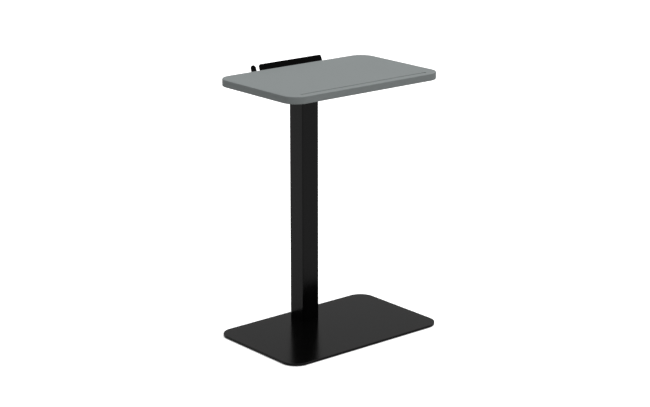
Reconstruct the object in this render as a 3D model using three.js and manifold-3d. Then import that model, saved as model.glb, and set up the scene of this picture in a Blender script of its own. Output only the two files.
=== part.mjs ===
// A C-shaped side table for a laptop or a tablet. A board top stands on one square steel column
// near its rear edge, over a flat steel base plate that slides under a seat. A bent steel tablet
// holder hangs behind the board's rear edge, and a pen groove runs along the user's edge.
// Millimetres, +Z up. +X runs along the board's long side and -Y points at the user. The origin
// is on the floor, under the middle of the whole object's outer box.

import * as THREE from 'three';
import { mergeVertices } from 'three/addons/utils/BufferGeometryUtils.js';
import Module from 'manifold-3d';

// ---- driving dimensions ----

const TABLE_HEIGHT = 650;
const FIT_GAP = 0.3;

const BOARD = { width: 465, depth: 295, thickness: 18, corner: 40, edge: 2 };
const GROOVE = { length: 388, width: 8, depth: 2, inset: 20 };

const BASE = { width: 477, depth: 302, thickness: 6, corner: 40, edge: 0.5 };
const GLIDE = { radius: 13, height: 1.5, inset: 36 };

const COLUMN = { size: 50.8, wall: 2, corner: 2.5, centreY: 100 };
const FOOT_BLOCK = { height: 12, screwSpacing: 28 };
const HEAD_PLATE = { width: 130, depth: 205, thickness: 5, corner: 12, edge: 0.6 };
const HEAD_SCREW_SPACING = { x: 100, y: 87.5 };

const HOLDER = {
  width: 222,
  sheet: 3,
  gap: 9,
  bendRadius: 2,
  lean: THREE.MathUtils.degToRad(20),
  rise: 10,
  lipCorner: 6,
  fingerWidth: 15,
  slotWidth: 10.5,
  slotFloor: 5,
  legReach: 49.5,
  notchWidth: 132,
  notchGap: 1,
  legCorner: 8,
};
const HOLDER_SCREWS = { x: 88, rows: [108, 134] };

const HEAD_SCREW = { radius: 3, length: 16, headRadius: 5.25, headHeight: 3.3, socket: 4, socketDepth: 2.1 };
const INSERT = { radius: 5, length: 12 };
const BASE_SCREW = { radius: 4, length: 16, headRadius: 8, headHeight: 4, socket: 5, socketDepth: 2.6 };
const WOOD_SCREW = { radius: 2, length: 16, tip: 3, headRadius: 4, headHeight: 2.6, crossDepth: 1.6 };

const ROUND_SEGMENTS = 16;
const GLIDE_SEGMENTS = 24;
const CORNER_SEGMENTS = 10;
const SMALL_CORNER_SEGMENTS = 5;

// ---- places worked out from the dimensions ----

const baseBottom = GLIDE.height;
const baseTop = baseBottom + BASE.thickness;
const boardBottom = TABLE_HEIGHT - BOARD.thickness;
const headPlateBottom = boardBottom - HEAD_PLATE.thickness;
const boardRear = BOARD.depth / 2;
const boardFront = -BOARD.depth / 2;
const columnRear = COLUMN.centreY + COLUMN.size / 2;
const headPlateY = columnRear - HEAD_PLATE.depth / 2;
const bendStart = boardRear + HOLDER.gap;
const lipTop = TABLE_HEIGHT + HOLDER.rise;

// The lip's front face starts where the inner bend ends and stops at lipTop.
const lipStart = {
  y: bendStart + HOLDER.bendRadius * Math.cos(HOLDER.lean),
  z: boardBottom + HOLDER.bendRadius * (1 - Math.sin(HOLDER.lean)),
};
const lipLength = (lipTop - lipStart.z) / Math.cos(HOLDER.lean);
const lipRear = lipStart.y + lipLength * Math.sin(HOLDER.lean) + HOLDER.sheet * Math.cos(HOLDER.lean);
const frameShiftY = (BASE.depth / 2 - lipRear) / 2;

// ---- solids ----

const wasm = await Module();
wasm.setup();

// A closed three.js geometry as a solid that can be cut and joined.
function solid(geometry) {
  const bare = geometry.index ? geometry.toNonIndexed() : geometry.clone();
  bare.deleteAttribute('normal');
  bare.deleteAttribute('uv');
  const merged = mergeVertices(bare, 1e-4);
  return new wasm.Manifold(new wasm.Mesh({
    numProp: 3,
    vertProperties: new Float32Array(merged.attributes.position.array),
    triVerts: new Uint32Array(merged.index.array),
  }));
}

function geometryOf(body) {
  const mesh = body.getMesh();
  const geometry = new THREE.BufferGeometry();
  geometry.setAttribute('position', new THREE.BufferAttribute(mesh.vertProperties, 3));
  geometry.setIndex(new THREE.BufferAttribute(mesh.triVerts, 1));
  return geometry;
}

function cut(geometry, ...tools) {
  return geometryOf(tools.reduce((body, tool) => body.subtract(solid(tool)), solid(geometry)));
}

function join(first, ...others) {
  return geometryOf(others.reduce((body, other) => body.add(solid(other)), solid(first)));
}

function keepInside(geometry, limit) {
  return geometryOf(solid(geometry).intersect(solid(limit)));
}

// A rectangle with round corners, centred on the origin.
function roundedRectangle(width, depth, radius, Target = THREE.Shape) {
  const x = width / 2;
  const y = depth / 2;
  const outline = new Target();
  outline.moveTo(-x + radius, -y);
  outline.lineTo(x - radius, -y);
  outline.absarc(x - radius, -y + radius, radius, -Math.PI / 2, 0);
  outline.lineTo(x, y - radius);
  outline.absarc(x - radius, y - radius, radius, 0, Math.PI / 2);
  outline.lineTo(-x + radius, y);
  outline.absarc(-x + radius, y - radius, radius, Math.PI / 2, Math.PI);
  outline.lineTo(-x, -y + radius);
  outline.absarc(-x + radius, -y + radius, radius, Math.PI, 1.5 * Math.PI);
  return outline;
}

// An outline pulled up along Z, from z = 0, with its top and bottom edges rounded.
function slab(outline, thickness, edge = 0, edgeSegments = 1, curveSegments = CORNER_SEGMENTS) {
  const geometry = new THREE.ExtrudeGeometry(outline, {
    depth: thickness - 2 * edge,
    curveSegments,
    bevelEnabled: edge > 0,
    bevelThickness: edge,
    bevelSize: edge,
    bevelOffset: -edge,
    bevelSegments: edgeSegments,
  });
  return geometry.translate(0, 0, edge);
}

// A solid of revolution round Z from a profile of [radius, z] points.
function turned(profile, segments = ROUND_SEGMENTS) {
  const points = profile.map(([radius, z]) => new THREE.Vector2(radius, z));
  return new THREE.LatheGeometry(points, segments).rotateX(Math.PI / 2);
}

function rod(radius, bottom, top, segments = ROUND_SEGMENTS) {
  return turned([[0, bottom], [radius, bottom], [radius, top], [0, top]], segments);
}

// A prism with six sides, for a socket of the given width across its flats.
function hexSocket(acrossFlats, bottom, top) {
  return rod(acrossFlats / Math.sqrt(3), bottom, top, 6);
}

// ---- the top ----

function makeBoard() {
  const board = slab(roundedRectangle(BOARD.width, BOARD.depth, BOARD.corner), BOARD.thickness, BOARD.edge, 3);
  board.translate(0, 0, boardBottom);
  const groove = slab(roundedRectangle(GROOVE.length, GROOVE.width, GROOVE.width / 2 - 0.01), 2 * GROOVE.depth);
  groove.translate(0, boardFront + GROOVE.inset, TABLE_HEIGHT - GROOVE.depth);
  const insertHoles = headScrewPlaces().map(([x, y]) => (
    rod(INSERT.radius + FIT_GAP, -1, INSERT.length + 1).translate(x, y, boardBottom)
  ));
  const pilotDepth = WOOD_SCREW.length - HOLDER.sheet + 1;
  const pilotHoles = holderScrewPlaces().map(([x, y]) => (
    rod(WOOD_SCREW.radius + FIT_GAP, -1, pilotDepth, 16).translate(x, y, boardBottom)
  ));
  return cut(board, groove, ...insertHoles, ...pilotHoles);
}

function makeInsert() {
  const bore = HEAD_SCREW.radius + FIT_GAP;
  return turned([
    [bore, 0],
    [INSERT.radius, 0],
    [INSERT.radius, INSERT.length],
    [bore, INSERT.length],
    [bore, 0],
  ]);
}

function headScrewPlaces() {
  const places = [];
  for (const row of [-1, 0, 1]) {
    for (const side of [-1, 1]) {
      places.push([side * HEAD_SCREW_SPACING.x / 2, headPlateY + row * HEAD_SCREW_SPACING.y]);
    }
  }
  return places;
}

function holderScrewPlaces() {
  return HOLDER_SCREWS.rows.flatMap((y) => [-1, 1].map((side) => [side * HOLDER_SCREWS.x, y]));
}

// ---- the column ----

function makeTube() {
  const inner = COLUMN.size - 2 * COLUMN.wall;
  const outline = roundedRectangle(COLUMN.size, COLUMN.size, COLUMN.corner);
  outline.holes.push(roundedRectangle(inner, inner, COLUMN.corner - COLUMN.wall, THREE.Path));
  const tube = new THREE.ExtrudeGeometry(outline, {
    depth: headPlateBottom - baseTop,
    curveSegments: SMALL_CORNER_SEGMENTS,
    bevelEnabled: false,
  });
  return tube.translate(0, COLUMN.centreY, baseTop);
}

function makeHeadPlate() {
  const outline = roundedRectangle(HEAD_PLATE.width, HEAD_PLATE.depth, HEAD_PLATE.corner);
  const plate = slab(outline, HEAD_PLATE.thickness, HEAD_PLATE.edge, 1, SMALL_CORNER_SEGMENTS);
  plate.translate(0, headPlateY, headPlateBottom);
  const holes = headScrewPlaces().map(([x, y]) => (
    rod(HEAD_SCREW.radius + FIT_GAP, -1, HEAD_PLATE.thickness + 1).translate(x, y, headPlateBottom)
  ));
  return cut(plate, ...holes);
}

function makeFootBlock() {
  const size = COLUMN.size - 2 * COLUMN.wall - 2 * FIT_GAP;
  const outline = roundedRectangle(size, size, COLUMN.corner - COLUMN.wall);
  const block = slab(outline, FOOT_BLOCK.height, 0, 1, SMALL_CORNER_SEGMENTS);
  block.translate(0, COLUMN.centreY, baseTop);
  const holes = baseScrewPlaces().map(([x, y]) => (
    rod(BASE_SCREW.radius + FIT_GAP, -1, FOOT_BLOCK.height + 1).translate(x, y, baseTop)
  ));
  return cut(block, ...holes);
}

function baseScrewPlaces() {
  const reach = FOOT_BLOCK.screwSpacing / 2;
  return [-1, 1].flatMap((row) => [-1, 1].map((side) => [side * reach, COLUMN.centreY + row * reach]));
}

// ---- the base ----

// The countersinks are as deep as the screws' heads and their sides run parallel to them.
function makeBasePlate() {
  const plate = slab(roundedRectangle(BASE.width, BASE.depth, BASE.corner), BASE.thickness, BASE.edge, 2);
  plate.translate(0, 0, baseBottom);
  const mouth = BASE_SCREW.headRadius + FIT_GAP;
  const throat = BASE_SCREW.radius + FIT_GAP;
  const countersink = [
    [0, -1],
    [mouth, -1],
    [mouth, 2 * FIT_GAP],
    [throat, 2 * FIT_GAP + mouth - throat],
    [throat, BASE.thickness + 1],
    [0, BASE.thickness + 1],
  ];
  const sinks = baseScrewPlaces().map(([x, y]) => turned(countersink).translate(x, y, baseBottom));
  return cut(plate, ...sinks);
}

function makeGlide() {
  const { radius, height } = GLIDE;
  const profile = [[0, 0], [radius - 0.5, 0], [radius, 0.5], [radius, height], [0, height]];
  return turned(profile, GLIDE_SEGMENTS);
}

function glidePlaces() {
  const x = BASE.width / 2 - GLIDE.inset;
  const y = BASE.depth / 2 - GLIDE.inset;
  return [[-x, -y], [x, -y], [-x, y], [x, y]];
}

// ---- the tablet holder ----

// The sheet's section across the lip: the flange's rear end, the bend and the leaning lip.
// The bend turns the flange up by a right angle less the lean.
function lipSection() {
  const inner = HOLDER.bendRadius;
  const outer = inner + HOLDER.sheet;
  const centreZ = boardBottom + inner;
  const endAngle = -HOLDER.lean;
  const along = new THREE.Vector2(Math.sin(HOLDER.lean), Math.cos(HOLDER.lean)).multiplyScalar(lipLength);
  const across = new THREE.Vector2(Math.cos(HOLDER.lean), -Math.sin(HOLDER.lean)).multiplyScalar(HOLDER.sheet);
  const top = new THREE.Vector2(lipStart.y, lipStart.z).add(along);
  const section = new THREE.Shape();
  section.moveTo(columnRear + HOLDER.notchGap + 4, boardBottom);
  section.lineTo(columnRear + HOLDER.notchGap + 4, boardBottom - HOLDER.sheet);
  section.lineTo(bendStart, boardBottom - HOLDER.sheet);
  section.absarc(bendStart, centreZ, outer, -Math.PI / 2, endAngle, false);
  section.lineTo(top.x + across.x, top.y + across.y);
  section.lineTo(top.x, top.y);
  section.absarc(bendStart, centreZ, inner, endAngle, -Math.PI / 2, true);
  return section;
}

// Seen square on to the lip, with its foot at v = 0: a narrow finger with a round top, the
// cable slot, and the wide bar with round top corners.
function lipOutline() {
  const side = HOLDER.width / 2;
  const fingerInner = -side + HOLDER.fingerWidth;
  const barInner = fingerInner + HOLDER.slotWidth;
  const fingerRadius = HOLDER.fingerWidth / 2;
  const slotRadius = HOLDER.slotWidth / 2;
  const corner = HOLDER.lipCorner;
  const below = -20;
  const outline = new THREE.Shape();
  outline.moveTo(-side, below);
  outline.lineTo(side, below);
  outline.lineTo(side, lipLength - corner);
  outline.absarc(side - corner, lipLength - corner, corner, 0, Math.PI / 2);
  outline.lineTo(barInner + corner, lipLength);
  outline.absarc(barInner + corner, lipLength - corner, corner, Math.PI / 2, Math.PI);
  outline.lineTo(barInner, HOLDER.slotFloor + slotRadius);
  outline.absarc(barInner - slotRadius, HOLDER.slotFloor + slotRadius, slotRadius, 0, -Math.PI, true);
  outline.lineTo(fingerInner, lipLength - fingerRadius);
  outline.absarc(-side + fingerRadius, lipLength - fingerRadius, fingerRadius, 0, Math.PI);
  return outline;
}

// The flange lies flat under the board, round three sides of the head plate.
function makeHolderFlange() {
  const side = HOLDER.width / 2;
  const notch = HOLDER.notchWidth / 2;
  const notchRear = columnRear + HOLDER.notchGap;
  const front = boardRear - HOLDER.legReach;
  const rear = bendStart - 1;
  const corner = HOLDER.legCorner;
  const outline = new THREE.Shape();
  outline.moveTo(side, rear);
  outline.lineTo(-side, rear);
  outline.lineTo(-side, front + corner);
  outline.absarc(-side + corner, front + corner, corner, Math.PI, 1.5 * Math.PI);
  outline.lineTo(-notch - corner, front);
  outline.absarc(-notch - corner, front + corner, corner, -Math.PI / 2, 0);
  outline.lineTo(-notch, notchRear);
  outline.lineTo(notch, notchRear);
  outline.lineTo(notch, front + corner);
  outline.absarc(notch + corner, front + corner, corner, Math.PI, 1.5 * Math.PI);
  outline.lineTo(side - corner, front);
  outline.absarc(side - corner, front + corner, corner, -Math.PI / 2, 0);
  const flange = slab(outline, HOLDER.sheet, 0, 1, SMALL_CORNER_SEGMENTS);
  return flange.translate(0, 0, boardBottom - HOLDER.sheet);
}

function makeTabletHolder() {
  const bend = new THREE.ExtrudeGeometry(lipSection(), {
    depth: HOLDER.width,
    curveSegments: SMALL_CORNER_SEGMENTS,
    bevelEnabled: false,
  });
  // The section's x and y become the object's Y and Z.
  bend.rotateX(Math.PI / 2).rotateZ(Math.PI / 2).translate(-HOLDER.width / 2, 0, 0);
  const outline = new THREE.ExtrudeGeometry(lipOutline(), {
    depth: 40,
    curveSegments: SMALL_CORNER_SEGMENTS,
    bevelEnabled: false,
  });
  outline.translate(0, 0, -20).rotateX(Math.PI / 2 - HOLDER.lean).translate(0, lipStart.y, lipStart.z);
  const foot = new THREE.BoxGeometry(HOLDER.width, 60, 10);
  foot.translate(0, bendStart - 20, boardBottom - 2);
  const lip = keepInside(bend, join(outline, foot));
  const holes = holderScrewPlaces().map(([x, y]) => (
    rod(WOOD_SCREW.radius + FIT_GAP, -1, HOLDER.sheet + 1, 16).translate(x, y, boardBottom - HOLDER.sheet)
  ));
  return cut(join(makeHolderFlange(), lip), ...holes);
}

// ---- fasteners, each with z = 0 where its head bears ----

function makeHeadScrew() {
  const { radius, length, headRadius, headHeight, socket, socketDepth } = HEAD_SCREW;
  const screw = turned([
    [0, -headHeight],
    [headRadius * 0.5, -headHeight],
    [headRadius * 0.8, -headHeight * 0.72],
    [headRadius, -headHeight * 0.15],
    [headRadius, 0],
    [radius, 0],
    [radius, length - 0.6],
    [radius - 0.6, length],
    [0, length],
  ]);
  return cut(screw, hexSocket(socket, -headHeight - 1, -headHeight + socketDepth));
}

// The flat of a countersunk head is at z = 0 and its shank points up.
function makeBaseScrew() {
  const { radius, length, headRadius, headHeight, socket, socketDepth } = BASE_SCREW;
  const screw = turned([
    [0, 0],
    [headRadius, 0],
    [radius, headHeight],
    [radius, length - 0.8],
    [radius - 0.8, length],
    [0, length],
  ]);
  return cut(screw, hexSocket(socket, -1, socketDepth));
}

function makeWoodScrew() {
  const { radius, length, tip, headRadius, headHeight, crossDepth } = WOOD_SCREW;
  const screw = turned([
    [0, -headHeight],
    [headRadius * 0.6, -headHeight],
    [headRadius, -headHeight * 0.4],
    [headRadius, 0],
    [radius, 0],
    [radius, length - tip],
    [0, length],
  ], 16);
  const bar = headRadius * 1.1;
  const slots = [[bar, 0.9], [0.9, bar]].map(([x, y]) => (
    new THREE.BoxGeometry(x, y, 2 * crossDepth).translate(0, 0, -headHeight)
  ));
  return cut(screw, ...slots);
}

// ---- materials ----

function greyBoardFinish() {
  return new THREE.MeshStandardMaterial({ color: 0x8d9493, roughness: 0.55, metalness: 0 });
}

function blackPowderCoat() {
  return new THREE.MeshStandardMaterial({ color: 0x17181a, roughness: 0.45, metalness: 0 });
}

function blackenedSteel() {
  return new THREE.MeshStandardMaterial({ color: 0x242424, roughness: 0.4, metalness: 0.8 });
}

function zincPlate() {
  return new THREE.MeshStandardMaterial({ color: 0xb8bbbd, roughness: 0.35, metalness: 1 });
}

function brass() {
  return new THREE.MeshStandardMaterial({ color: 0xb08d4f, roughness: 0.4, metalness: 1 });
}

function glideNylon() {
  return new THREE.MeshStandardMaterial({ color: 0x2b2b2c, roughness: 0.7, metalness: 0 });
}

// ---- the assembly ----

const group = new THREE.Group();
group.position.y = frameShiftY;

function place(name, geometry, material, position = [0, 0, 0]) {
  const mesh = new THREE.Mesh(geometry, material);
  mesh.name = name;
  mesh.position.set(...position);
  group.add(mesh);
}

function placeEach(name, make, material, places, z) {
  places.forEach(([x, y], index) => place(`${name}_${index + 1}`, make(), material, [x, y, z]));
}

place('tabletop', makeBoard(), greyBoardFinish());
placeEach('tabletop_insert', makeInsert, brass(), headScrewPlaces(), boardBottom);
place('column_head_plate', makeHeadPlate(), blackPowderCoat());
placeEach('head_plate_screw', makeHeadScrew, blackenedSteel(), headScrewPlaces(), headPlateBottom);
place('column_tube', makeTube(), blackPowderCoat());
place('column_foot_block', makeFootBlock(), zincPlate());
place('base_plate', makeBasePlate(), blackPowderCoat());
placeEach('base_screw', makeBaseScrew, zincPlate(), baseScrewPlaces(), baseBottom + FIT_GAP);
placeEach('glide', makeGlide, glideNylon(), glidePlaces(), 0);
place('tablet_holder', makeTabletHolder(), blackPowderCoat());
const holderScrewZ = boardBottom - HOLDER.sheet;
placeEach('holder_screw', makeWoodScrew, blackenedSteel(), holderScrewPlaces(), holderScrewZ);

export default group;
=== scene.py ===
"""A C-shaped laptop and tablet table: its surfaces and finishes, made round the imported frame.

Everything is in metres in the frame's axes: +Z up, -Y towards the user, the floor at z = 0. The
frame says where each piece is and how large it is. The settings below say how its edges, bends,
threads and finishes are made. Each operator makes one piece or one group of pieces.
"""

import math
from functools import cache

import bmesh
import bpy
import numpy as np
from bpy.props import FloatProperty, FloatVectorProperty, PointerProperty
from bpy.types import Operator, Panel, PropertyGroup
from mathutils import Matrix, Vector
from mathutils.geometry import delaunay_2d_cdt


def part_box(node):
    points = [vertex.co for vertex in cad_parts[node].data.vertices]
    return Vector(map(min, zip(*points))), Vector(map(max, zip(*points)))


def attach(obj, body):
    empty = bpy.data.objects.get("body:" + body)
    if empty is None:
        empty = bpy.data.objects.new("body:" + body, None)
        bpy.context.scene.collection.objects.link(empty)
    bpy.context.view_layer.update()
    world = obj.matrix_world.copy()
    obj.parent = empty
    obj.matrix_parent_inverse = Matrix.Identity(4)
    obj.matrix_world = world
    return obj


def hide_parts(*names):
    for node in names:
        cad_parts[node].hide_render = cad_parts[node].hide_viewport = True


bl_info = {
    "name": "Tablet Table",
    "version": (1, 0, 0),
    "blender": (4, 5, 0),
    "location": "View3D > Sidebar > Table",
    "description": "Builds a C-shaped table for a laptop or tablet, with its finishes and studio",
    "category": "Add Mesh",
}

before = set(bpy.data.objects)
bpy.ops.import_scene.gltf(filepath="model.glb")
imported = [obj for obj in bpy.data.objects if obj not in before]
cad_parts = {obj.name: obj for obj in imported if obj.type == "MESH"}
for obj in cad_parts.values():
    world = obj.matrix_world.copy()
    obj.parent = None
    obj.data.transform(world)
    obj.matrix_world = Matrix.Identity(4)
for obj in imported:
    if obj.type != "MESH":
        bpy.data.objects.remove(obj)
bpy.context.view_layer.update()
BODY = "root"

# How finely surfaces are cut into points, and how they are joined and shaded.
MERGE_DISTANCE = 1e-6
SHARP_ANGLE = math.radians(32)
CORNER_STEPS = 24
EDGE_STEPS = 6
ROUND_SIDES = 48
TUBE_STEPS = 10
WELD_POINTS = 480
THREAD_STEPS = 8
FLOOR_SIZE = 60.0  # metres

# Clearances, depths and hole radii.
FIT_GAP = 0.0003
PILOT_RADIUS = 0.002
BLIND_DEPTH = 0.001
M6_HOLE = 0.0033
M8_HOLE = 0.0043
HOLDER_HOLE = 0.0023
NOTCH_GAP = 0.001


# ---- settings ----


def length(name, description, default):
    """A size in metres."""
    return FloatProperty(
        name=name, description=description, default=default, min=0.0, precision=4, unit="LENGTH"
    )


def angle(name, description, degrees):
    """An angle, given in degrees."""
    return FloatProperty(
        name=name, description=description, default=math.radians(degrees), subtype="ANGLE"
    )


def amount(name, description, default, low=0.0, high=1.0):
    """A plain number between two limits."""
    return FloatProperty(name=name, description=description, default=default, min=low, max=high)


def colour(name, description, default):
    """A linear colour."""
    return FloatVectorProperty(
        name=name,
        description=description,
        default=default,
        size=3,
        min=0.0,
        max=1.0,
        subtype="COLOR",
    )


class TableShape(PropertyGroup):
    """Edges, corners and bends of the table's pieces."""

    board_corner: length("Board corner", "Radius of the board's corners in plan", 0.040)
    board_edge: length("Board edge", "Radius of the board's upper and lower edges", 0.002)
    groove_length: length("Groove length", "Length of the pen groove", 0.388)
    groove_width: length("Groove width", "Width of the pen groove", 0.008)
    groove_depth: length("Groove depth", "Depth of the pen groove", 0.002)
    groove_inset: length("Groove inset", "From the board's front edge to the groove", 0.020)
    groove_lip: length("Groove lip", "Radius of the groove's upper edges", 0.0005)
    groove_fillet: length("Groove fillet", "Radius at the foot of the groove's walls", 0.0012)
    base_corner: length("Base corner", "Radius of the base plate's corners in plan", 0.040)
    base_edge: length("Base edge", "Radius of the base plate's edges", 0.0005)
    head_corner: length("Head plate corner", "Radius of the head plate's corners in plan", 0.012)
    head_edge: length("Head plate edge", "Radius of the head plate's edges", 0.0006)
    tube_wall: length("Tube wall", "Wall thickness of the square column", 0.002)
    tube_corner: length("Tube corner", "Outer corner radius of the square column", 0.0025)
    tube_edge: length("Tube edge", "Bevel on the column's cut ends", 0.0003)
    weld_leg: length("Weld leg", "Leg of the fillet weld under the head plate", 0.0035)
    block_corner: length("Block corner", "Corner radius of the block in the column's foot", 0.0015)
    block_edge: length("Block edge", "Bevel on the foot block's edges", 0.0005)
    sheet: length("Holder sheet", "Thickness of the tablet holder's steel", 0.003)
    sheet_edge: length("Holder edge", "Radius of the tablet holder's cut edges", 0.0004)
    bend_radius: length("Bend radius", "Inner radius of the tablet holder's bend", 0.002)
    lip_lean: angle("Lip lean", "How far the lip leans back from upright", 20.0)
    lip_corner: length("Lip corner", "Radius of the lip's upper corners", 0.006)
    finger_width: length("Finger width", "Width of the lip's narrow finger", 0.015)
    slot_width: length("Cable slot", "Width of the slot between the finger and the bar", 0.0105)
    slot_floor: length("Slot floor", "From the end of the bend to the foot of the slot", 0.005)
    leg_corner: length("Leg corner", "Radius of the corners of the holder's two legs", 0.008)
    notch_width: length("Notch width", "Width of the notch round the head plate", 0.132)
    notch_corner: length("Notch corner", "Radius of the notch's inner corners", 0.003)
    bevel: length("Hole bevel", "Bevel round the mouth of each drilled hole", 0.0003)


class TableFinish(PropertyGroup):
    """Colours and gloss of the table's finishes."""

    board: colour("Board", "Colour of the board's matte lacquer", (0.188, 0.206, 0.206))
    board_roughness: amount("Board roughness", "Roughness of the board's lacquer", 0.6)
    coat: colour("Powder coat", "Colour of the black powder coat", (0.0008, 0.0008, 0.0008))
    coat_roughness: amount("Coat roughness", "Roughness of the black powder coat", 0.18)
    coat_specular: amount("Coat reflection", "Specular level of the black powder coat", 0.195)
    zinc: colour("Zinc", "Colour of the zinc-plated screws", (0.60, 0.62, 0.64))
    oxide: colour("Black oxide", "Colour of the blackened screws", (0.035, 0.034, 0.033))
    brass: colour("Brass", "Colour of the threaded inserts", (0.66, 0.47, 0.20))
    steel: colour("Steel", "Colour of the bare steel foot block", (0.40, 0.39, 0.38))
    nylon: colour("Nylon", "Colour of the floor glides", (0.018, 0.018, 0.019))


class Studio(PropertyGroup):
    """The camera, the floor and the lights."""

    lens: amount("Lens", "Focal length in millimetres on a 36 mm sensor", 96.0, 20.0, 300.0)
    distance: length("Distance", "From the camera to the point it looks at", 4.278)
    azimuth: angle("Azimuth", "Turn of the camera round the table; 0 looks along +Y", -39.88)
    elevation: angle("Elevation", "Height of the camera above the horizon", 16.07)
    target: FloatVectorProperty(
        name="Target",
        description="The point that the camera looks at",
        default=(0.0120, 0.0237, 0.3188),
        size=3,
        subtype="TRANSLATION",
        unit="LENGTH",
    )
    key_power: amount("Key light", "Strength of the soft key light", 3.65, 0.0, 20.0)
    key_size: angle("Key size", "Angle that the key light fills in the sky", 86.0)
    key_azimuth: angle("Key azimuth", "Side that the key light shines from; 90 is +X", 22.0)
    key_elevation: angle("Key elevation", "Height of the key light above the horizon", 75.0)
    sky: amount("Sky", "Brightness of the studio on the user's side", 0.07, 0.0, 5.0)
    sky_behind: amount("Sky behind", "Brightness of the studio behind the table", 0.352, 0.0, 5.0)
    bright_azimuth: angle("Bright azimuth", "Side that the studio is brightest on", 140.0)
    backdrop: amount("Backdrop", "Brightness of the backdrop as the camera sees it", 1.0, 0.0, 5.0)
    floor: amount("Floor", "Reflectance of the floor as the camera sees it", 0.97)
    floor_glow: amount("Floor glow", "Light that the floor gives to the camera by itself", 0.30)
    floor_bounce: amount("Floor bounce", "Reflectance of the floor towards the table", 0.535)


def shape():
    """The settings of edges, corners and bends."""
    return bpy.context.scene.table_shape


def finish():
    """The settings of colours and gloss."""
    return bpy.context.scene.table_finish


# ---- surfaces ----


class Skin:
    """Gathers grids of points and flat faces, then welds them into one closed mesh."""

    def __init__(self):
        self.points = []
        self.faces = []
        self.count = 0

    def add(self, points, faces):
        """Adds points x 3, and faces as rows of places among those points."""
        self.points.append(points)
        self.faces += (np.asarray(faces) + self.count).tolist()
        self.count += len(points)

    def loft(self, rings, closed=False):
        """Quads between neighbouring rings, where rings is rings x points x 3.

        Point j of ring i joins points j + 1 of the same ring and j of ring i + 1. Each ring runs
        back to its own start, and closed also joins the last ring to the first.
        """
        count, sides, _ = rings.shape
        spans = count if closed else count - 1
        ring, side = np.meshgrid(np.arange(spans), np.arange(sides), indexing="ij")
        here = ring * sides
        above = (ring + 1) % count * sides
        beside = (side + 1) % sides
        corners = [here + side, here + beside, above + beside, above + side]
        self.add(rings.reshape(-1, 3), np.stack(corners, axis=-1).reshape(-1, 4))

    def cap(self, ring):
        """One flat face across a ring."""
        self.add(ring, np.arange(len(ring))[None, :])

    def pierced(self, outline, holes, place, lines=()):
        """Triangles inside a flat outline and outside its holes, with corners only on those rings.

        The rings are points x 2. place carries the flat points to where they belong. A line is a
        pair of places in the outline that must be joined by an edge.
        """
        rings = [outline, *holes]
        flat = np.concatenate(rings)
        starts = np.cumsum([0] + [len(ring) for ring in rings])
        edges = list(lines)
        for start, ring in zip(starts, rings):
            here = np.arange(len(ring))
            edges += np.stack([start + here, start + (here + 1) % len(ring)], axis=-1).tolist()
        points, _, faces, origins, _, _ = delaunay_2d_cdt(
            [Vector(p) for p in flat.tolist()], edges, [], 1, 1e-9
        )
        ring_of = np.searchsorted(starts, [origin[0] for origin in origins], side="right") - 1
        corners = np.array(faces)
        owner = ring_of[corners]
        in_hole = (owner[:, 0] > 0) & (owner == owner[:, :1]).all(axis=1)
        self.add(place(np.array(points)), corners[~in_hole])

    def mesh(self, name):
        """The welded mesh, with its faces pointing out. An open edge is an error."""
        data = bpy.data.meshes.new(name)
        data.from_pydata(np.concatenate(self.points).tolist(), [], self.faces)
        work = bmesh.new()
        work.from_mesh(data)
        bmesh.ops.remove_doubles(work, verts=work.verts, dist=MERGE_DISTANCE)
        bmesh.ops.recalc_face_normals(work, faces=work.faces)
        open_edges = sum(1 for edge in work.edges if len(edge.link_faces) != 2)
        work.to_mesh(data)
        work.free()
        if open_edges:
            raise RuntimeError(f"{name} has {open_edges} open edges")
        return data


def level(height):
    """Carries flat points to one height."""
    return lambda flat: np.column_stack([flat, np.full(len(flat), height)])


def rounded_rings(size, corner, centre, insets, heights, steps=CORNER_STEPS):
    """Rings round a rectangle with round corners, one for each inset and height.

    An inset draws the outline in on every side: the corners' centres stay, and the corners'
    radius falls by the inset. Each corner is a quarter circle, and the rings run anticlockwise.
    """
    insets = np.asarray(insets, float)
    turn = np.linspace(0, math.pi / 2, steps + 1)
    theta = (np.arange(4)[:, None] * math.pi / 2 + turn).ravel()
    side = np.repeat(np.array([[1, 1], [-1, 1], [-1, -1], [1, -1]]), steps + 1, axis=0)
    hub = np.asarray(centre)[:2] + side * (np.asarray(size)[:2] / 2 - corner)
    direction = np.stack([np.cos(theta), np.sin(theta)], axis=-1)
    flat = hub + (corner - insets)[:, None, None] * direction
    heights = np.broadcast_to(np.asarray(heights, float)[:, None, None], (*flat.shape[:2], 1))
    return np.concatenate([flat, heights], axis=-1)


def rounded_edge(low, high, radius, steps=EDGE_STEPS):
    """Insets and heights from a plate's underside round its side to its top.

    At turn t from -90 to 90 degrees the inset is radius (1 - cos t), and the height is radius
    sin t from the middle of the edge's quarter circle.
    """
    turn = np.linspace(0, math.pi / 2, steps + 1)
    below = -turn[::-1]
    insets = radius * (1 - np.cos(np.concatenate([below, turn])))
    lower = low + radius + radius * np.sin(below)
    upper = high - radius + radius * np.sin(turn)
    return insets, np.concatenate([lower, upper])


def circle(sides=ROUND_SIDES):
    """The angles of evenly spaced points round a circle."""
    return np.arange(sides) * 2 * math.pi / sides


def turned(profile, centre):
    """Rings about a vertical axis: each profile row is a radius and a height above the centre."""
    radii, heights = np.asarray(profile, float).T
    return shaped(np.broadcast_to(radii[:, None], (len(radii), ROUND_SIDES)), heights, centre)


def shaped(radii, heights, centre):
    """Rings about a vertical axis whose radius also changes with the angle, as rings x sides."""
    theta = circle(radii.shape[1])
    x = centre[0] + radii * np.cos(theta)
    y = centre[1] + radii * np.sin(theta)
    z = np.broadcast_to((centre[2] + np.asarray(heights, float))[:, None], radii.shape)
    return np.stack([x, y, z], axis=-1)


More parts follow.
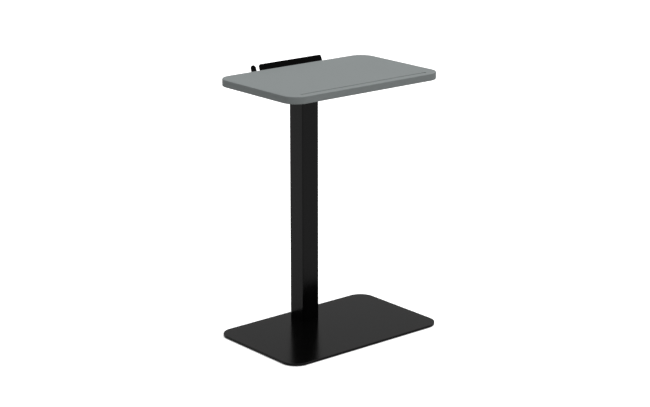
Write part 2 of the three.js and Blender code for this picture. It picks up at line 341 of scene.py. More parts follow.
def thread(radius, low, high, pitch, depth):
    """Radii and heights of a screw thread.

    The radius falls by depth in a triangle wave that climbs one pitch in each turn, and the wave
    fades away over one pitch at each end.
    """
    heights = np.linspace(low, high, int((high - low) / pitch * THREAD_STEPS))
    phase = (heights[:, None] - low) / pitch - circle() / (2 * math.pi)
    wave = np.abs(2 * (phase % 1) - 1)
    fade = np.clip(np.minimum(heights - low, high - heights) / pitch, 0, 1)
    return radius - depth * wave * fade[:, None], heights


def hexagon(across_flats):
    """Radii of a regular hexagon: its half width over the cosine of the angle from each flat."""
    sixth = math.pi / 3
    return across_flats / 2 / np.cos((circle() + sixth / 2) % sixth - sixth / 2)


def cross(reach, half_width):
    """Radii of a cross recess: the further of two bars, each cut off at its end and its sides."""
    tiny = 1e-9
    along = np.abs(np.cos(circle())) + tiny
    across = np.abs(np.sin(circle())) + tiny
    bar = np.minimum(reach / along, half_width / across)
    other = np.minimum(reach / across, half_width / along)
    return np.maximum(bar, other)


def same_radius(radius, sides=ROUND_SIDES):
    """Radii of a circle."""
    return np.full(sides, radius)


def drilled(skin, place, radius, mouth, foot, bevel, blind=False):
    """The wall of a drilled hole, with a bevel at its mouth, and at its foot unless it is blind."""
    inward = math.copysign(bevel, foot - mouth)
    profile = [(radius + bevel, mouth), (radius, mouth + inward), (radius, foot)]
    if not blind:
        profile[-1:] = [(radius, foot - inward), (radius + bevel, foot)]
    rings = turned(profile, (*place, 0))
    skin.loft(rings)
    if blind:
        skin.cap(rings[-1])


def hole_mouths(places, radius):
    """Flat rings round the mouths of holes."""
    theta = circle()
    ring = radius * np.stack([np.cos(theta), np.sin(theta)], axis=-1)
    return [np.asarray(place) + ring for place in places]


# ---- where the frame puts the pieces ----


def box(node):
    """A node's lowest corner, size and centre, as arrays."""
    low, high = (np.array(corner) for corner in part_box(node))
    return low, high - low, (low + high) / 2


def family(stem):
    """The names of the nodes that repeat one piece."""
    return sorted(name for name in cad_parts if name.rsplit("_", 1)[0] == stem)


def centres(stem):
    """The plan centres of the nodes that repeat one piece."""
    return [box(name)[2][:2] for name in family(stem)]


# ---- finishes ----


class Amount:
    """A number that changes over a surface. Arithmetic on it adds Math nodes."""

    def __init__(self, nodes, socket):
        self.nodes = nodes
        self.socket = socket

    def _math(self, operation, *values):
        node = self.nodes.add("ShaderNodeMath", {"operation": operation}, dict(enumerate(values)))
        return Amount(self.nodes, node.outputs[0])

    def __add__(self, other):
        return self._math("ADD", self, other)

    def __sub__(self, other):
        return self._math("SUBTRACT", self, other)

    def __rsub__(self, other):
        return self._math("SUBTRACT", other, self)

    def __mul__(self, other):
        return self._math("MULTIPLY", self, other)

    __radd__ = __add__
    __rmul__ = __mul__

    def swing(self, width):
        """How far the amount is from its middle, 0.5, scaled to a width."""
        return (self - 0.5) * width

    def above(self, low, high):
        """0 where the amount is under low, 1 where it is over high, and a ramp between."""
        sockets = {0: self, 1: low, 2: high, 3: 0.0, 4: 1.0}
        node = self.nodes.add("ShaderNodeMapRange", {"clamp": True}, sockets)
        return Amount(self.nodes, node.outputs[0])


class Nodes:
    """A node tree that is built with expressions."""

    def __init__(self, owner):
        owner.use_nodes = True
        self.tree = owner.node_tree
        self.tree.nodes.clear()

    def add(self, kind, settings=None, sockets=None):
        """Any node: its settings are set first, then the values or links of its sockets."""
        node = self.tree.nodes.new(kind)
        for key, value in (settings or {}).items():
            setattr(node, key, value)
        for key, value in (sockets or {}).items():
            if isinstance(value, Amount):
                value = value.socket
            if isinstance(value, bpy.types.NodeSocket):
                self.tree.links.new(value, node.inputs[key])
            else:
                node.inputs[key].default_value = value
        return node

    def for_camera(self, seen, lit):
        """One shader where the camera looks straight at it, and another for all other light."""
        camera = self.add("ShaderNodeLightPath").outputs["Is Camera Ray"]
        sockets = {0: camera, 1: lit.outputs[0], 2: seen.outputs[0]}
        return self.add("ShaderNodeMixShader", {}, sockets).outputs[0]


class Paint(Nodes):
    """A material for one finish."""

    def __init__(self, name):
        self.material = bpy.data.materials.new(name)
        super().__init__(self.material)
        self.place = self.add("ShaderNodeTexCoord").outputs["Object"]

    def stretched(self, scale):
        """The object's own coordinates, scaled along each axis."""
        return self.add("ShaderNodeMapping", {}, {"Vector": self.place, "Scale": scale}).outputs[0]

    def noise(self, size, detail, place=None):
        """Soft noise from 0 to 1 with features about size metres across."""
        sockets = {"Vector": place or self.place, "Scale": 1 / size, "Detail": detail}
        return Amount(self, self.add("ShaderNodeTexNoise", {}, sockets).outputs[0])

    def shade(self, tone, spread, factor):
        """A colour that goes from darker to lighter by spread, a part of one, with the factor."""
        dark = [c * (1 - spread) for c in tone]
        light = [min(c * (1 + spread), 1.0) for c in tone]
        sockets = {0: factor, 6: (*dark, 1.0), 7: (*light, 1.0)}
        return self.add("ShaderNodeMix", {"data_type": "RGBA"}, sockets).outputs[2]

    def bump(self, height, distance, strength):
        """A normal from a height that goes from 0 to 1 over a distance in metres."""
        sockets = {"Height": height, "Distance": distance, "Strength": strength}
        return self.add("ShaderNodeBump", {}, sockets).outputs[0]

    def done(self, **sockets):
        """Adds the surface shader. A socket's name is written with _ for each space."""
        named = {key.replace("_", " "): value for key, value in sockets.items()}
        surface = self.add("ShaderNodeBsdfPrincipled", {}, named)
        self.add("ShaderNodeOutputMaterial", {}, {"Surface": surface.outputs[0]})
        return self.material


@cache
def board_lacquer():
    """Matte grey lacquer: faint speckle and clouding, a fine stipple and slightly rubbed areas."""
    paint = Paint("board_lacquer")
    speckle = paint.noise(size=0.0007, detail=3.0)
    cloud = paint.noise(size=0.09, detail=3.0)
    stipple = paint.noise(size=0.0004, detail=2.0)
    peel = paint.noise(size=0.003, detail=1.0)
    tone = 0.5 + speckle.swing(0.9) + cloud.swing(0.6)
    relief = stipple * 0.6 + peel * 0.4
    return paint.done(
        Base_Color=paint.shade(finish().board, spread=0.05, factor=tone),
        Roughness=finish().board_roughness + cloud.swing(0.10) + speckle.swing(0.08),
        Normal=paint.bump(relief, distance=0.00005, strength=0.5),
        Specular_IOR_Level=0.35,
    )


@cache
def satin_coat():
    """Satin black powder coat: a shallow orange peel, a fine grain and a little handling haze."""
    paint = Paint("satin_coat")
    peel = paint.noise(size=0.0024, detail=1.0)
    grain = paint.noise(size=0.0005, detail=2.0)
    haze = paint.noise(size=0.06, detail=4.0)
    relief = peel * 0.7 + grain * 0.3
    return paint.done(
        Base_Color=paint.shade(finish().coat, spread=0.25, factor=0.5 + grain.swing(1.4)),
        Roughness=finish().coat_roughness + haze.swing(0.08) + grain.swing(0.10),
        Normal=paint.bump(relief, distance=0.00004, strength=0.6),
        Specular_IOR_Level=finish().coat_specular,
    )


def metal(name, base, roughness, grain_stretch, spread=0.08):
    """Bare or plated metal: fine tool marks along one direction and a soft stain."""
    paint = Paint(name)
    marks = paint.noise(size=0.001, detail=3.0, place=paint.stretched(grain_stretch))
    stain = paint.noise(size=0.004, detail=3.0)
    tone = 0.5 + stain.swing(0.8) + marks.swing(0.5)
    return paint.done(
        Base_Color=paint.shade(base, spread, factor=tone),
        Metallic=1.0,
        Roughness=roughness + marks.swing(0.16) + stain.swing(0.1),
        Normal=paint.bump(marks, distance=0.00001, strength=0.6),
    )


@cache
def zinc_plate():
    """Bright zinc plate, slightly clouded."""
    return metal("zinc_plate", finish().zinc, 0.30, (1.0, 1.0, 5.0))


@cache
def black_oxide():
    """Blackened steel, slightly stained."""
    return metal("black_oxide", finish().oxide, 0.38, (1.0, 1.0, 3.0), spread=0.2)


@cache
def turned_brass():
    """Turned brass, with tool marks round its axis."""
    return metal("turned_brass", finish().brass, 0.32, (0.3, 0.3, 6.0), spread=0.1)


@cache
def milled_steel():
    """Milled mild steel, with cutter marks along X."""
    return metal("milled_steel", finish().steel, 0.36, (0.15, 3.0, 3.0), spread=0.14)


@cache
def moulded_nylon():
    """Dark moulded nylon with a fine grain, scuffed along X."""
    paint = Paint("moulded_nylon")
    grain = paint.noise(size=0.0006, detail=2.0)
    scuff = paint.noise(size=0.003, detail=4.0, place=paint.stretched((1.0, 4.0, 1.0)))
    return paint.done(
        Base_Color=paint.shade(finish().nylon, spread=0.3, factor=0.5 + scuff.swing(1.2)),
        Roughness=0.6 + grain.swing(0.2) + scuff.swing(0.2),
        Normal=paint.bump(grain, distance=0.00004, strength=0.5),
    )


# ---- pieces ----


def add_piece(name, skin, finish_of, nodes=()):
    """Puts a finished surface in the scene, where it rides on the body and replaces its nodes."""
    data = skin.mesh(name)
    data.materials.append(finish_of())
    data.polygons.foreach_set("use_smooth", np.ones(len(data.polygons), bool))
    data.set_sharp_from_angle(angle=SHARP_ANGLE)
    piece = bpy.data.objects.new(name, data)
    bpy.context.scene.collection.objects.link(piece)
    weighted = piece.modifiers.new("even_shading", "WEIGHTED_NORMAL")
    weighted.keep_sharp = True
    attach(piece, BODY)
    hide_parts(*nodes)


def add_each(stem, name, finish_of, fill):
    """Makes one piece for each node of a family. fill adds its surface, given the node's name."""
    for number, node in enumerate(family(stem), start=1):
        skin = Skin()
        fill(skin, node)
        add_piece(f"{name}_{number}", skin, finish_of, [node])


def plate_sides(skin, node, corner, edge):
    """A plate's side with its rounded edges. Gives the rims of its underside and its top."""
    low, size, centre = box(node)
    insets, heights = rounded_edge(low[2], low[2] + size[2], edge)
    rings = rounded_rings(size, corner, centre, insets, heights)
    skin.loft(rings)
    return rings[0], rings[-1]


def make_board():
    """The board: eased edges all round, the pen groove above, and blind holes for screws below.

    The flat top lies between the board's rim and the groove's mouth, which have the same count of
    points. The groove's section falls over a small lip, down a wall and round into a flat floor.
    """
    s = shape()
    skin = Skin()
    under, top = plate_sides(skin, "tabletop", s.board_corner, s.board_edge)
    low, size, centre = box("tabletop")
    high = low[2] + size[2]
    turn = np.linspace(0, math.pi / 2, EDGE_STEPS + 1)
    lip_inset = -s.groove_lip * (1 - np.sin(turn))
    lip_depth = s.groove_lip * (1 - np.cos(turn))
    foot_inset = s.groove_fillet * (1 - np.cos(turn))
    foot_depth = s.groove_depth - s.groove_fillet * (1 - np.sin(turn))
    groove = rounded_rings(
        (s.groove_length, s.groove_width),
        s.groove_width / 2,
        (centre[0], low[1] + s.groove_inset),
        np.concatenate([lip_inset, foot_inset]),
        high - np.concatenate([lip_depth, foot_depth]),
    )
    skin.loft(np.stack([top, groove[0]]))
    skin.loft(groove)
    skin.cap(groove[-1])

    insert_radius = box(family("tabletop_insert")[0])[1][0] / 2
    holes = []
    for stem, radius in (("tabletop_insert", insert_radius), ("holder_screw", PILOT_RADIUS)):
        radius += FIT_GAP
        fastener_low, fastener_size, _ = box(family(stem)[0])
        floor = fastener_low[2] + fastener_size[2] + BLIND_DEPTH
        for place in centres(stem):
            drilled(skin, place, radius, low[2], floor, s.bevel, blind=True)
        holes += hole_mouths(centres(stem), radius + s.bevel)
    skin.pierced(under[:, :2], holes, level(low[2]))
    add_piece("board", skin, board_lacquer, ["tabletop"])


def make_column():
    """The square tube: its outer and inner walls and its two cut ends close on each other."""
    s = shape()
    low, size, centre = box("column_tube")
    foot = low[2]
    top = low[2] + size[2]
    wall = s.tube_wall
    edge = s.tube_edge
    section = [
        (edge, foot), (0, foot + edge), (0, top - edge), (edge, top),
        (wall - edge, top), (wall, top - edge), (wall, foot + edge), (wall - edge, foot),
    ]
    insets, heights = np.array(section).T
    skin = Skin()
    skin.loft(rounded_rings(size, s.tube_corner, centre, insets, heights, TUBE_STEPS), closed=True)
    add_piece("column", skin, satin_coat, ["column_tube"])


def evenly(ring, count):
    """Evenly spaced points along a closed flat ring, and the outward normal at each."""
    loop = np.concatenate([ring, ring[:1]])
    walked = np.concatenate([[0], np.cumsum(np.linalg.norm(np.diff(loop, axis=0), axis=1))])
    stops = np.linspace(0, walked[-1], count, endpoint=False)
    path = np.stack([np.interp(stops, walked, loop[:, axis]) for axis in (0, 1)], axis=-1)
    ahead = np.roll(path, -1, axis=0) - np.roll(path, 1, axis=0)
    normal = np.stack([ahead[:, 1], -ahead[:, 0]], axis=-1)
    return path, normal / np.linalg.norm(normal, axis=1, keepdims=True)


def make_weld():
    """The fillet weld under the head plate.

    A quarter-round section is carried round the tube: at turn t it stands out by leg sin t and
    hangs down by leg cos t. Between its two toes, both are scaled by a ripple along the seam.
    """
    s = shape()
    low, size, centre = box("column_tube")
    top = low[2] + size[2]
    ring = rounded_rings(size, s.tube_corner, centre, [0.0], [top], TUBE_STEPS)[0, :, :2]
    path, normal = evenly(ring, WELD_POINTS)
    bulge, swell, points_per_ripple = 0.95, 0.07, 5
    ripple = bulge + swell * np.cos(np.arange(len(path)) * 2 * math.pi / points_per_ripple)
    turn = np.linspace(0, math.pi / 2, EDGE_STEPS + 1)[:, None]
    out = s.weld_leg * np.sin(turn) * np.where(turn < turn[-1], ripple, 1.0)
    down = s.weld_leg * np.cos(turn) * np.where(turn > turn[0], ripple, 1.0)
    root = np.zeros((1, len(path)))
    out = np.concatenate([out, root])
    down = np.concatenate([down, root])
    flat = path + out[:, :, None] * normal
    rings = np.concatenate([flat, (top - down)[:, :, None]], axis=-1)
    skin = Skin()
    skin.loft(rings, closed=True)
    add_piece("column_weld", skin, satin_coat)


def drill_plate(skin, under, top, places, radius, bevel):
    """Through holes in a plate, and its two flat faces round them."""
    for place in places:
        drilled(skin, place, radius, under[0, 2], top[0, 2], bevel)
    mouths = hole_mouths(places, radius + bevel)
    for rim in (under, top):
        skin.pierced(rim[:, :2], mouths, level(rim[0, 2]))


def make_head_plate():
    """The plate on the column's top end, with six holes for the screws into the board."""
    s = shape()
    skin = Skin()
    rims = plate_sides(skin, "column_head_plate", s.head_corner, s.head_edge)
    drill_plate(skin, *rims, centres("head_plate_screw"), M6_HOLE, s.bevel)
    add_piece("head_plate", skin, satin_coat, ["column_head_plate"])


def make_foot_block():
    """The block in the column's foot, with four holes for the screws from below."""
    s = shape()
    skin = Skin()
    rims = plate_sides(skin, "column_foot_block", s.block_corner, s.block_edge)
    drill_plate(skin, *rims, centres("base_screw"), M8_HOLE, s.bevel)
    add_piece("foot_block", skin, milled_steel, ["column_foot_block"])


def make_base():
    """The base plate, with four through holes that are countersunk from below."""
    s = shape()
    skin = Skin()
    under, top = plate_sides(skin, "base_plate", s.base_corner, s.base_edge)
    places = centres("base_screw")
    mouth, land = 0.0083, 0.0006
    thickness = top[0, 2] - under[0, 2]
    sink = [(mouth, 0), (mouth, land), (M8_HOLE, land + mouth - M8_HOLE), (M8_HOLE, thickness)]
    for place in places:
        skin.loft(turned(sink, (*place, under[0, 2])))
    for rim, radius in ((under, mouth), (top, M8_HOLE)):
        skin.pierced(rim[:, :2], hole_mouths(places, radius), level(rim[0, 2]))
    add_piece("base", skin, satin_coat, ["base_plate"])


def arc(centre, radius, start, stop, steps):
    """Points along part of a circle, from one angle to another in degrees."""
    theta = np.radians(np.linspace(start, stop, steps + 1))
    return np.asarray(centre) + radius * np.stack([np.cos(theta), np.sin(theta)], axis=-1)


def drawn_in(ring, inset):
    """A closed flat ring moved inwards, to its left, along the mean normal of its two sides."""
    ahead = np.roll(ring, -1, axis=0) - ring
    ahead /= np.linalg.norm(ahead, axis=1, keepdims=True)
    mean = ahead + np.roll(ahead, 1, axis=0)
    mean /= np.linalg.norm(mean, axis=1, keepdims=True)
    return ring + inset * np.stack([-mean[:, 1], mean[:, 0]], axis=-1)


class HolderSheet:
    """The tablet holder as a flat blank, and the bend that folds it.

    The blank's first coordinate is X. Its second runs back along the upper face of the flange,
    from 0 where the bend starts, and then up the lip's front face.
    """

    BEND_STEPS = 12
    LIP_STEPS = 10
    SLOT_STEPS = 16
    FINGER_STEPS = 20
    LEG_STEPS = 10
    NOTCH_STEPS = 6

    def __init__(self):
        s = shape()
        low, size, centre = box("tablet_holder")
        self.side = size[0] / 2
        self.middle = centre[0]
        self.top = low[2] + size[2]
        self.flange = low[2] + s.sheet
        self.fold = math.pi / 2 - s.lip_lean
        self.arc_length = s.bend_radius * self.fold
        rise = self.top - self.flange - s.bend_radius * (1 - math.sin(s.lip_lean))
        self.lip = rise / math.cos(s.lip_lean)
        reach = s.bend_radius * math.cos(s.lip_lean) + self.lip * math.sin(s.lip_lean)
        self.start = low[1] + size[1] - reach - s.sheet * math.cos(s.lip_lean)
        self.front = low[1] - self.start
        plate_low, plate_size, _ = box("column_head_plate")
        self.notch = plate_low[1] + plate_size[1] + NOTCH_GAP - self.start

    def folded(self, flat, depth):
        """Where a point of the blank goes, at a depth below its upper face.

        Up to 0 the blank is level. Round the bend the angle grows with the distance over the bend
        radius, and beyond it the sheet goes straight on, leaning back.
        """
        s = shape()
        along = flat[:, 1]
        turn = np.clip(along / s.bend_radius, 0, self.fold)
        radius = s.bend_radius + depth
        straight = np.maximum(along - self.arc_length, 0)
        y = self.start + np.minimum(along, 0) + radius * np.sin(turn)
        z = self.flange + s.bend_radius - radius * np.cos(turn)
        y += straight * math.sin(s.lip_lean)
        z += straight * math.cos(s.lip_lean)
        return np.stack([self.middle + flat[:, 0], y, z], axis=-1)

    def outline(self):
        """The blank's edge, anticlockwise: the lip with its finger, slot and bar, then the legs."""
        s = shape()
        side = self.side
        top = self.arc_length + self.lip
        bends = np.linspace(0, self.arc_length, self.BEND_STEPS + 1)
        up_right = np.stack([np.full(len(bends), side), bends], axis=-1)
        finger = s.finger_width / 2
        slot = s.slot_width / 2
        slot_x = -side + s.finger_width + slot
        bar_x = slot_x + slot
        slot_y = self.arc_length + s.slot_floor + slot
        lip = s.lip_corner
        notch = s.notch_width / 2
        corner = s.leg_corner
        inner = s.notch_corner
        legs = self.front + corner
        return np.concatenate([
            up_right,
            arc((side - lip, top - lip), lip, 0, 90, self.LIP_STEPS),
            arc((bar_x + lip, top - lip), lip, 90, 180, self.LIP_STEPS),
            arc((slot_x, slot_y), slot, 0, -180, self.SLOT_STEPS),
            arc((-side + finger, top - finger), finger, 0, 180, self.FINGER_STEPS),
            (up_right * (-1, 1))[::-1],
            arc((-side + corner, legs), corner, 180, 270, self.LEG_STEPS),
            arc((-notch - corner, legs), corner, 270, 360, self.LEG_STEPS),
            arc((-notch + inner, self.notch - inner), inner, 180, 90, self.NOTCH_STEPS),
            arc((notch - inner, self.notch - inner), inner, 90, 0, self.NOTCH_STEPS),
            arc((notch + corner, legs), corner, 180, 270, self.LEG_STEPS),
            arc((side - corner, legs), corner, 270, 360, self.LEG_STEPS),
        ])

    def bend_lines(self):
        """Pairs of outline points that the bend's creases join, from its foot to its head.

        The outline goes up the bend at one end, then over the lip, and down the bend at the other.
        """
        bend = self.BEND_STEPS + 1
        lip = 2 * (self.LIP_STEPS + 1) + (self.SLOT_STEPS + 1) + (self.FINGER_STEPS + 1)
        last = bend + lip + bend - 1
        return [(step, last - step) for step in range(bend)]


def make_tablet_holder():
    """The bent steel tablet holder, folded from its blank, with rounded cut edges.

    The edge goes round the sheet's thickness in two quarter circles: the outline is drawn in by
    edge (1 - cos t) at each face, and not at all half way through.
    """
    s = shape()
    sheet = HolderSheet()
    outline = sheet.outline()
    insets, depths = rounded_edge(0, s.sheet, s.sheet_edge, 4)
    places = [np.asarray(place) - (sheet.middle, sheet.start) for place in centres("holder_screw")]
    skin = Skin()
    skin.loft(np.stack([sheet.folded(drawn_in(outline, i), d) for i, d in zip(insets, depths)]))
    for hole in zip(*(hole_mouths(places, HOLDER_HOLE + i) for i in insets)):
        skin.loft(np.stack([sheet.folded(ring, depth) for ring, depth in zip(hole, depths)]))
    mouths = hole_mouths(places, HOLDER_HOLE + insets[0])
    for depth in (0, s.sheet):
        skin.pierced(
            drawn_in(outline, insets[0]),
            mouths,
            lambda flat, depth=depth: sheet.folded(flat, depth),
            sheet.bend_lines(),
        )
    add_piece("tablet_holder_sheet", skin, satin_coat, ["tablet_holder"])


# ---- fasteners and glides ----


def close_ends(skin, radii, heights, centre):
    """A closed surface about a vertical axis, with a flat face across each end."""
    rings = shaped(np.asarray(radii), heights, centre)
    skin.loft(rings)
    skin.cap(rings[0])
    skin.cap(rings[-1])


def hexagon_socket(across_flats, depth, drill):
    """Radii and heights of a hexagon socket, from its drilled floor out to its bevelled mouth."""
    bevel, drilled_part = 0.0001, 0.35
    hexes = hexagon(across_flats)
    radii = [hexes * drilled_part, hexes, hexes, hexagon(across_flats + 2 * bevel)]
    return radii, [depth + drill, depth, bevel, 0.0]


def button_head_screw(skin, node):
    """A button head screw, head down.

    From the socket's floor out over the dome, whose section is a quarter ellipse, then under the
    head and up the threaded shank to its bevelled tip.
    """
    low, size, centre = box(node)
    head, head_height, shank, rim, flat = size[0] / 2, 0.0033, 0.003, 0.0004, 0.0028
    neck, tip, tip_bevel, pitch, depth = 0.0004, 0.0006, 0.0007, 0.001, 0.0006
    turn = np.linspace(math.pi / 2, 0, 8)
    dome = flat + (head - flat) * np.cos(turn)
    dome_height = head_height - rim - (head_height - rim) * np.sin(turn)
    thread_radii, thread_heights = thread(shank, head_height + neck, size[2] - tip, pitch, depth)
    radii, heights = hexagon_socket(0.004, depth=0.0021, drill=0.0004)
    radii += [same_radius(r) for r in (*dome, head, shank)]
    heights += [*dome_height, head_height, head_height]
    radii += [*thread_radii, same_radius(shank - tip_bevel)]
    heights += [*thread_heights, size[2]]
    close_ends(skin, radii, heights, (*centre[:2], low[2]))


def countersunk_screw(skin, node):
    """A countersunk socket screw, head down: a short rim, a cone, then the thread to its tip."""
    low, size, centre = box(node)
    head, head_height, shank, rim = size[0] / 2, 0.004, 0.004, 0.0003
    neck, tip, tip_bevel, pitch, depth = 0.0005, 0.0008, 0.0009, 0.00125, 0.00075
    thread_radii, thread_heights = thread(shank, head_height + neck, size[2] - tip, pitch, depth)
    radii, heights = hexagon_socket(0.005, depth=0.0026, drill=0.0005)
    radii += [same_radius(r) for r in (head - rim, head, head, shank)]
    heights += [0.0, rim / 2, rim, head_height]
    radii += [*thread_radii, same_radius(shank - tip_bevel)]
    heights += [*thread_heights, size[2]]
    close_ends(skin, radii, heights, (*centre[:2], low[2]))


def wood_screw(skin, node):
    """A pan head wood screw, head down, with a cross recess and a coarse thread to its point."""
    low, size, centre = box(node)
    head, head_height, shank, point = size[0] / 2, 0.0026, 0.002, 0.003
    flat, shoulder, neck, pitch, depth = 0.0023, 0.0018, 0.002, 0.0018, 0.0006
    recess, recess_rise, recess_middle, blunt, curve = 0.0016, 0.0001, 0.3, 0.05, 0.7
    recess_floor, mouth = cross(0.0009, 0.0003), cross(0.0019, 0.00045)
    turn = np.linspace(math.pi / 2, 0, EDGE_STEPS + 1)
    dome = flat + (head - flat) * np.cos(turn)
    dome_height = shoulder * (1 - np.sin(turn))
    thread_radii, thread_heights = thread(shank, head_height + neck, size[2], pitch, depth)
    taper = np.clip((size[2] - thread_heights) / point, blunt, 1) ** curve
    radii = [recess_floor * recess_middle, recess_floor, mouth]
    heights = [recess, recess - recess_rise, 0.0]
    radii += [same_radius(r) for r in (*dome, head, shank)]
    heights += [*dome_height, head_height, head_height]
    radii += [*(thread_radii * taper[:, None])]
    heights += [*thread_heights]
    close_ends(skin, radii, heights, (*centre[:2], low[2]))


def threaded_insert(skin, node):
    """A brass insert: a plain bore, bevelled ends and two knurled bands with a groove between.

    The knurl is the product of two rows of ridges that climb in opposite directions. It fades
    away at each end, over a length equal to its depth.
    """
    low, size, centre = box(node)
    outer, bevel, depth = size[0] / 2, 0.0004, 0.0004
    ridges, lead, groove_half, groove_depth = 12, 0.0016, 0.0009, 1.6 * depth
    sides = 4 * ROUND_SIDES
    heights = np.linspace(bevel, size[2] - bevel, 49)
    around = ridges * circle(sides)
    climb = heights[:, None] * 2 * math.pi / lead
    knurl = np.abs(np.sin(around + climb) * np.sin(around - climb)) ** 0.5
    in_groove = np.abs(heights - size[2] / 2) < groove_half
    sunk = np.where(in_groove[:, None], groove_depth, depth * (1 - knurl))
    fade = np.clip(np.minimum(heights - bevel, size[2] - bevel - heights) / depth, 0, 1)
    below = [same_radius(r, sides) for r in (M6_HOLE + bevel, outer - bevel)]
    above = [same_radius(r, sides) for r in (outer - bevel, M6_HOLE + bevel, M6_HOLE, M6_HOLE)]
    rows = [*below, *(outer - sunk * fade[:, None]), *above]
    levels = [0, 0, *heights, size[2], size[2], size[2] - bevel, bevel]
    skin.loft(shaped(np.asarray(rows), levels, (*centre[:2], low[2])), closed=True)


def floor_glide(skin, node):
    """A thin round glide with a softly rounded lower rim."""
    low, size, centre = box(node)
    radius, height, rim, bevel = size[0] / 2, size[2], 0.0007, 0.0001
    turn = np.linspace(-math.pi / 2, 0, EDGE_STEPS + 1)
    radii = [same_radius(r) for r in (*(radius - rim + rim * np.cos(turn)), radius, radius - bevel)]
    heights = [*(rim + rim * np.sin(turn)), height - bevel, height]
    close_ends(skin, radii, heights, (*centre[:2], low[2]))


# ---- the stage ----


def make_floor():
    """A wide pale floor with a faint mottle.

    The camera sees it near white, with a little glow of its own, as a brightly lit sweep looks.
    Towards the table it is a plain surface that sends back less light, so that the table's sides
    and underside stay shaded.
    """
    studio = bpy.context.scene.table_studio
    paint = Paint("pale_floor")
    mottle = paint.noise(size=0.4, detail=2.0)
    tones = [paint.shade([tone] * 3, 0.005, mottle) for tone in (studio.floor_bounce, studio.floor)]
    lit, seen = (paint.add("ShaderNodeBsdfDiffuse", {}, {"Color": tone}) for tone in tones)
    glow = paint.add("ShaderNodeEmission", {}, {"Strength": studio.floor_glow})
    bright = paint.add("ShaderNodeAddShader", {}, {0: seen.outputs[0], 1: glow.outputs[0]})
    paint.add("ShaderNodeOutputMaterial", {}, {"Surface": paint.for_camera(bright, lit)})
    half = FLOOR_SIZE / 2
    corners = [(-half, -half, 0), (half, -half, 0), (half, half, 0), (-half, half, 0)]
    data = bpy.data.meshes.new("floor")
    data.from_pydata(corners, [], [(0, 1, 2, 3)])
    data.materials.append(paint.material)
    floor = bpy.data.objects.new("floor", data)
    bpy.context.scene.collection.objects.link(floor)


def direction(azimuth, elevation):
    """The way towards a place round the table, for an azimuth and a height above the horizon."""
    flat = math.cos(elevation)
    return Vector((math.sin(azimuth) * flat, -math.cos(azimuth) * flat, math.sin(elevation)))


def make_key_light():
    """A very soft light from far away, above the table's front."""
    studio = bpy.context.scene.table_studio
    data = bpy.data.lights.new("key", "SUN")
    data.energy = studio.key_power
    data.angle = studio.key_size
    key = bpy.data.objects.new("key", data)
    towards = direction(studio.key_azimuth, studio.key_elevation)
    key.rotation_mode = "QUATERNION"
    key.rotation_quaternion = towards.to_track_quat("Z", "Y")
    bpy.context.scene.collection.objects.link(key)


def make_sky():
    """The studio: light that grows from the user's side to the bright side behind the table.

    Its brightness rises with the cosine of the angle from the middle of the bright side, between
    two limits of that cosine. The camera itself sees a white backdrop.
    """
    studio = bpy.context.scene.table_studio
    world = bpy.data.worlds.new("studio")
    nodes = Nodes(world)
    way = nodes.add("ShaderNodeTexCoord").outputs["Generated"]
    towards = direction(studio.bright_azimuth, 0)
    facing = nodes.add("ShaderNodeVectorMath", {"operation": "DOT_PRODUCT"}, {0: way, 1: towards})
    dimmest, brightest = -0.5, 0.9
    behind = Amount(nodes, facing.outputs["Value"]).above(dimmest, brightest)
    strength = studio.sky + (studio.sky_behind - studio.sky) * behind
    lit, seen = (
        nodes.add("ShaderNodeBackground", {}, {"Color": (1, 1, 1, 1), "Strength": brightness})
        for brightness in (strength, studio.backdrop)
    )
    nodes.add("ShaderNodeOutputWorld", {}, {"Surface": nodes.for_camera(seen, lit)})
    bpy.context.scene.world = world


def make_camera():
    """The camera, level and aimed at its target from its azimuth and elevation."""
    studio = bpy.context.scene.table_studio
    data = bpy.data.cameras.new("camera")
    data.lens = studio.lens
    data.sensor_width = 36.0
    camera = bpy.data.objects.new("camera", data)
    back = direction(studio.azimuth, studio.elevation)
    camera.location = Vector(studio.target) + back * studio.distance
    camera.rotation_mode = "QUATERNION"
    camera.rotation_quaternion = back.to_track_quat("Z", "Y")
    bpy.context.scene.collection.objects.link(camera)
    bpy.context.scene.camera = camera


def make_stage():
    """The floor, the lights and the camera, with colours shown without a film look."""
    make_floor()
    make_sky()
    make_key_light()
    make_camera()
    bpy.context.scene.view_settings.view_transform = "Standard"


# ---- operators ----


class TABLE_OT_board(Operator):
    """Make the board with its pen groove"""

    bl_idname = "table.board"
    bl_label = "Board"
    bl_options = {"REGISTER", "UNDO"}

    def execute(self, context):
        make_board()
        return {"FINISHED"}


class TABLE_OT_inserts(Operator):
    """Make the brass inserts in the board"""

    bl_idname = "table.inserts"
    bl_label = "Board Inserts"
    bl_options = {"REGISTER", "UNDO"}

    def execute(self, context):
        add_each("tabletop_insert", "board_insert", turned_brass, threaded_insert)
        return {"FINISHED"}


class TABLE_OT_column(Operator):
    """Make the square column, its weld and its foot block"""

    bl_idname = "table.column"
    bl_label = "Column"
    bl_options = {"REGISTER", "UNDO"}

    def execute(self, context):
        make_column()
        make_weld()
        make_foot_block()
        return {"FINISHED"}


class TABLE_OT_head_plate(Operator):
    """Make the head plate under the board"""

    bl_idname = "table.head_plate"
    bl_label = "Head Plate"
    bl_options = {"REGISTER", "UNDO"}

    def execute(self, context):
        make_head_plate()
        return {"FINISHED"}


class TABLE_OT_base(Operator):
    """Make the base plate"""

    bl_idname = "table.base"
    bl_label = "Base Plate"
    bl_options = {"REGISTER", "UNDO"}

    def execute(self, context):
        make_base()
        return {"FINISHED"}


class TABLE_OT_holder(Operator):
    """Make the tablet holder"""

    bl_idname = "table.holder"
    bl_label = "Tablet Holder"
    bl_options = {"REGISTER", "UNDO"}

    def execute(self, context):
        make_tablet_holder()
        return {"FINISHED"}


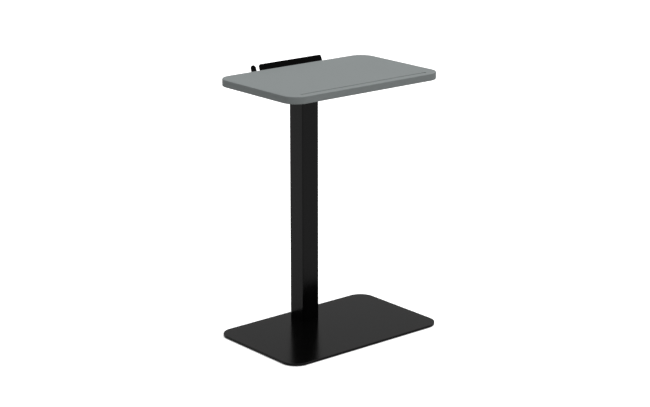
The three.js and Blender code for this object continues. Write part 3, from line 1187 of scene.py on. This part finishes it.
class TABLE_OT_screws(Operator):
    """Make the screws of the head plate, the base and the tablet holder"""

    bl_idname = "table.screws"
    bl_label = "Screws"
    bl_options = {"REGISTER", "UNDO"}

    def execute(self, context):
        add_each("head_plate_screw", "head_screw", black_oxide, button_head_screw)
        add_each("base_screw", "base_bolt", zinc_plate, countersunk_screw)
        add_each("holder_screw", "holder_wood_screw", black_oxide, wood_screw)
        return {"FINISHED"}


class TABLE_OT_glides(Operator):
    """Make the floor glides"""

    bl_idname = "table.glides"
    bl_label = "Glides"
    bl_options = {"REGISTER", "UNDO"}

    def execute(self, context):
        add_each("glide", "floor_glide", moulded_nylon, floor_glide)
        return {"FINISHED"}


class TABLE_OT_stage(Operator):
    """Make the floor, the lights and the camera"""

    bl_idname = "table.stage"
    bl_label = "Stage"
    bl_options = {"REGISTER", "UNDO"}

    def execute(self, context):
        make_stage()
        return {"FINISHED"}


OPERATORS = (
    TABLE_OT_board,
    TABLE_OT_inserts,
    TABLE_OT_column,
    TABLE_OT_head_plate,
    TABLE_OT_base,
    TABLE_OT_holder,
    TABLE_OT_screws,
    TABLE_OT_glides,
    TABLE_OT_stage,
)


class TABLE_PT_panel(Panel):
    """The table's settings and operators"""

    bl_idname = "TABLE_PT_panel"
    bl_label = "Tablet Table"
    bl_space_type = "VIEW_3D"
    bl_region_type = "UI"
    bl_category = "Table"

    def draw(self, context):
        for operator in OPERATORS:
            self.layout.operator(operator.bl_idname)
        scene = context.scene
        for settings in (scene.table_shape, scene.table_finish, scene.table_studio):
            settings_box = self.layout.box()
            for name in settings.__annotations__:
                settings_box.prop(settings, name)


CLASSES = (TableShape, TableFinish, Studio, *OPERATORS, TABLE_PT_panel)


def register():
    for cls in CLASSES:
        bpy.utils.register_class(cls)
    bpy.types.Scene.table_shape = PointerProperty(type=TableShape)
    bpy.types.Scene.table_finish = PointerProperty(type=TableFinish)
    bpy.types.Scene.table_studio = PointerProperty(type=Studio)


def unregister():
    del bpy.types.Scene.table_studio
    del bpy.types.Scene.table_finish
    del bpy.types.Scene.table_shape
    for cls in reversed(CLASSES):
        bpy.utils.unregister_class(cls)


def main():
    """Registers the classes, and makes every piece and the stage."""
    register()
    for operator in OPERATORS:
        group, name = operator.bl_idname.split(".")
        getattr(getattr(bpy.ops, group), name)()


if __name__ == "__main__":
    main()
